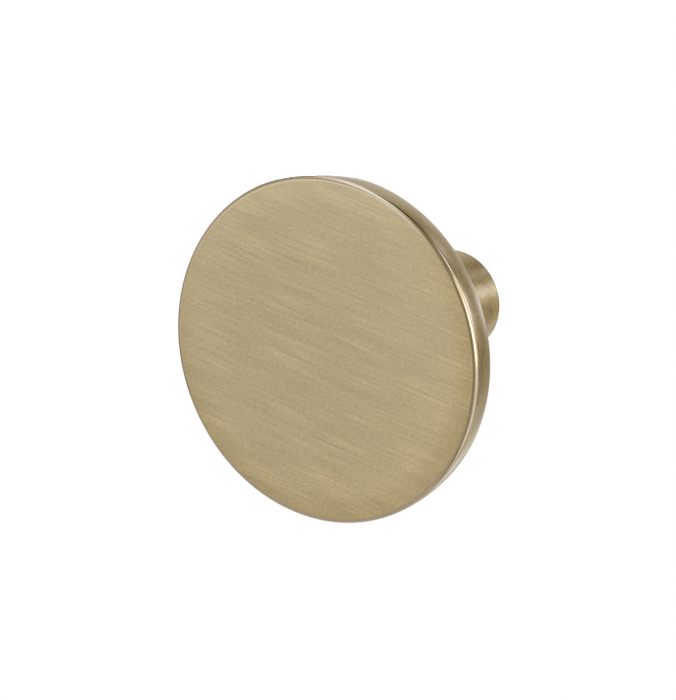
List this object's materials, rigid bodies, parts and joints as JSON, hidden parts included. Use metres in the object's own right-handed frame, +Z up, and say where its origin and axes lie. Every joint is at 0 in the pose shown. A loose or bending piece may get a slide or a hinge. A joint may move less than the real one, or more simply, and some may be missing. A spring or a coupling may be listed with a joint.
{
  "type": "cabinet knob",
  "caption": "Flat round disc cabinet knob on a plain cylindrical stem, turned in one piece, with a blind threaded hole in its foot for a screw from behind the door.",
  "frame": {"origin": "centre of the stem's foot, on the face of the door or drawer front", "axes": "+Y along the knob's axis, into the door, so the head stands out towards -Y; +X to the right as seen from the front; +Z up"},
  "size_m": [0.035, 0.026, 0.035],
  "materials": {
    "brushed_brass": "satin, finely brushed, clear lacquered"
  },
  "bodies": {
    "root": {"knob": "brushed_brass"}
  },
  "joints": []
}
